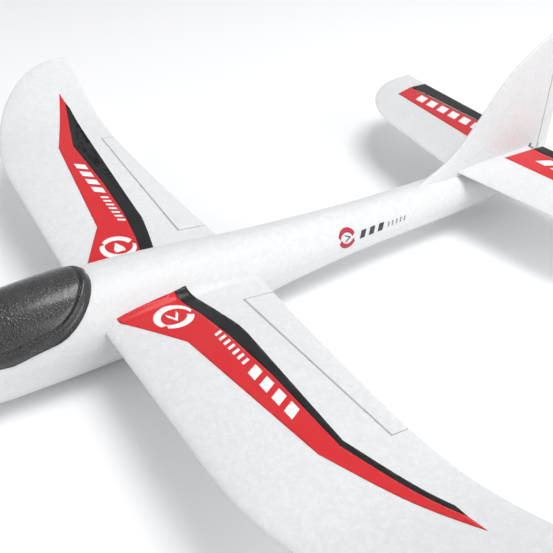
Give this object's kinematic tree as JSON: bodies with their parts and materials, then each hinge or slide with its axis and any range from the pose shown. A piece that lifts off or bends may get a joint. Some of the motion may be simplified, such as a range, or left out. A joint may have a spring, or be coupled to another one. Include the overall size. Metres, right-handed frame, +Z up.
{
  "type": "rc glider",
  "caption": "Foam radio-control glider with upturned wing tips, moulded fin, lift-off black canopy, and hinged ailerons, elevator and rudder on pushrods.",
  "frame": {"origin": "on the resting surface, under the middle of the bounding box", "axes": "nose towards -Y, port wing towards +X, up is +Z"},
  "size_m": [0.8, 0.71, 0.199],
  "materials": {
    "foam": "matte",
    "canopy": "satin",
    "nylon": "satin",
    "servo_case": "satin",
    "steel_wire": "satin",
    "magnet": "polished",
    "carbon": "satin",
    "battery_wrap": "gloss",
    "receiver_case": "satin",
    "plywood": "matte",
    "ballast": "matte",
    "guide_tube": "satin"
  },
  "bodies": {
    "airframe": {"aileron_left_fixed_leaves": "nylon", "aileron_left_servo": "servo_case", "aileron_right_fixed_leaves": "nylon", "aileron_right_servo": "servo_case", "battery_pack": "battery_wrap", "boom_spar": "carbon", "elevator_fixed_leaves": "nylon", "elevator_guide_tube": "guide_tube", "elevator_servo": "servo_case", "fuselage_left_half": "foam", "fuselage_magnets": "magnet", "fuselage_right_half": "foam", "nose_ballast": "ballast", "receiver": "receiver_case", "rudder_fixed_leaves": "nylon", "rudder_guide_tube": "guide_tube", "rudder_servo": "servo_case", "servo_side_tray": "plywood", "servo_tray": "plywood", "stabiliser": "foam", "wing_joiner": "carbon", "wing_left_panel": "foam", "wing_right_panel": "foam"},
    "canopy": {"canopy_shell": "canopy", "canopy_magnets": "magnet"},
    "elevator": {"elevator_left": "foam", "elevator_right": "foam", "elevator_joiner": "steel_wire", "elevator_horn": "nylon", "elevator_moving_leaves": "nylon", "elevator_hinge_pins": "steel_wire"},
    "elevator_arm": {"elevator_servo_arm": "nylon"},
    "elevator_rod": {"elevator_pushrod": "steel_wire"},
    "rudder": {"rudder": "foam", "rudder_horn": "nylon", "rudder_moving_leaves": "nylon", "rudder_hinge_pins": "steel_wire"},
    "rudder_arm": {"rudder_servo_arm": "nylon"},
    "rudder_rod": {"rudder_pushrod": "steel_wire"},
    "aileron_left": {"aileron_left": "foam", "aileron_left_horn": "nylon", "aileron_left_moving_leaves": "nylon", "aileron_left_hinge_pins": "steel_wire"},
    "aileron_left_arm": {"aileron_left_servo_arm": "nylon"},
    "aileron_left_rod": {"aileron_left_pushrod": "steel_wire"},
    "aileron_right": {"aileron_right": "foam", "aileron_right_horn": "nylon", "aileron_right_moving_leaves": "nylon", "aileron_right_hinge_pins": "steel_wire"},
    "aileron_right_arm": {"aileron_right_servo_arm": "nylon"},
    "aileron_right_rod": {"aileron_right_pushrod": "steel_wire"}
  },
  "joints": [
    {"name": "canopy_lift", "type": "slide", "parent": "airframe", "child": "canopy", "axis": [0, 0, 1], "range_m": [0, 0.06]},
    {"name": "aileron_left_hinge", "type": "hinge", "parent": "airframe", "child": "aileron_left", "pos_m": [0.14662, -0.082, 0.06118], "axis": [0.9955, 0, 0.0948], "range_deg": [-20, 20]},
    {"name": "aileron_left_arm_turn", "type": "hinge", "parent": "airframe", "child": "aileron_left_arm", "pos_m": [0.14656, -0.128, 0.06178], "axis": [0.9955, 0, 0.0948], "range_deg": [-20, 20]},
    {"name": "aileron_left_rod_pin", "type": "hinge", "parent": "aileron_left_arm", "child": "aileron_left_rod", "pos_m": [0.14742, -0.128, 0.05282], "axis": [0.9955, 0, 0.0948], "range_deg": [-20, 20]},
    {"name": "aileron_right_hinge", "type": "hinge", "parent": "airframe", "child": "aileron_right", "pos_m": [-0.14662, -0.082, 0.06118], "axis": [0.9955, 0, -0.0948], "range_deg": [-20, 20]},
    {"name": "aileron_right_arm_turn", "type": "hinge", "parent": "airframe", "child": "aileron_right_arm", "pos_m": [-0.14656, -0.128, 0.06178], "axis": [0.9955, 0, -0.0948], "range_deg": [-20, 20]},
    {"name": "aileron_right_rod_pin", "type": "hinge", "parent": "aileron_right_arm", "child": "aileron_right_rod", "pos_m": [-0.14742, -0.128, 0.05282], "axis": [0.9955, 0, -0.0948], "range_deg": [-20, 20]},
    {"name": "elevator_hinge", "type": "hinge", "parent": "airframe", "child": "elevator", "pos_m": [0, 0.321, 0.0642], "axis": [1, 0, 0], "range_deg": [-20, 20]},
    {"name": "elevator_arm_turn", "type": "hinge", "parent": "airframe", "child": "elevator_arm", "pos_m": [-0.008, -0.226, 0.054], "axis": [1, 0, 0], "range_deg": [-20, 20]},
    {"name": "elevator_rod_pin", "type": "hinge", "parent": "elevator_arm", "child": "elevator_rod", "pos_m": [-0.008, -0.226, 0.042], "axis": [1, 0, 0], "range_deg": [-20, 20]},
    {"name": "rudder_hinge", "type": "hinge", "parent": "airframe", "child": "rudder", "pos_m": [0, 0.338, 0.044], "axis": [0, 0, 1], "range_deg": [-20, 20]},
    {"name": "rudder_arm_turn", "type": "hinge", "parent": "airframe", "child": "rudder_arm", "pos_m": [-0.004, -0.258, 0.038], "axis": [0, 0, 1], "range_deg": [-20, 20]},
    {"name": "rudder_rod_pin", "type": "hinge", "parent": "rudder_arm", "child": "rudder_rod", "pos_m": [0.008, -0.258, 0.038], "axis": [0, 0, 1], "range_deg": [-20, 20]}
  ],
  "couplings": [
    {"joint": "aileron_left_arm_turn", "follows": "aileron_left_hinge", "ratio": 1},
    {"joint": "aileron_left_rod_pin", "follows": "aileron_left_hinge", "ratio": -1},
    {"joint": "aileron_right_arm_turn", "follows": "aileron_right_hinge", "ratio": 1},
    {"joint": "aileron_right_rod_pin", "follows": "aileron_right_hinge", "ratio": -1},
    {"joint": "elevator_arm_turn", "follows": "elevator_hinge", "ratio": 1},
    {"joint": "elevator_rod_pin", "follows": "elevator_hinge", "ratio": -1},
    {"joint": "rudder_arm_turn", "follows": "rudder_hinge", "ratio": 1},
    {"joint": "rudder_rod_pin", "follows": "rudder_hinge", "ratio": -1}
  ]
}
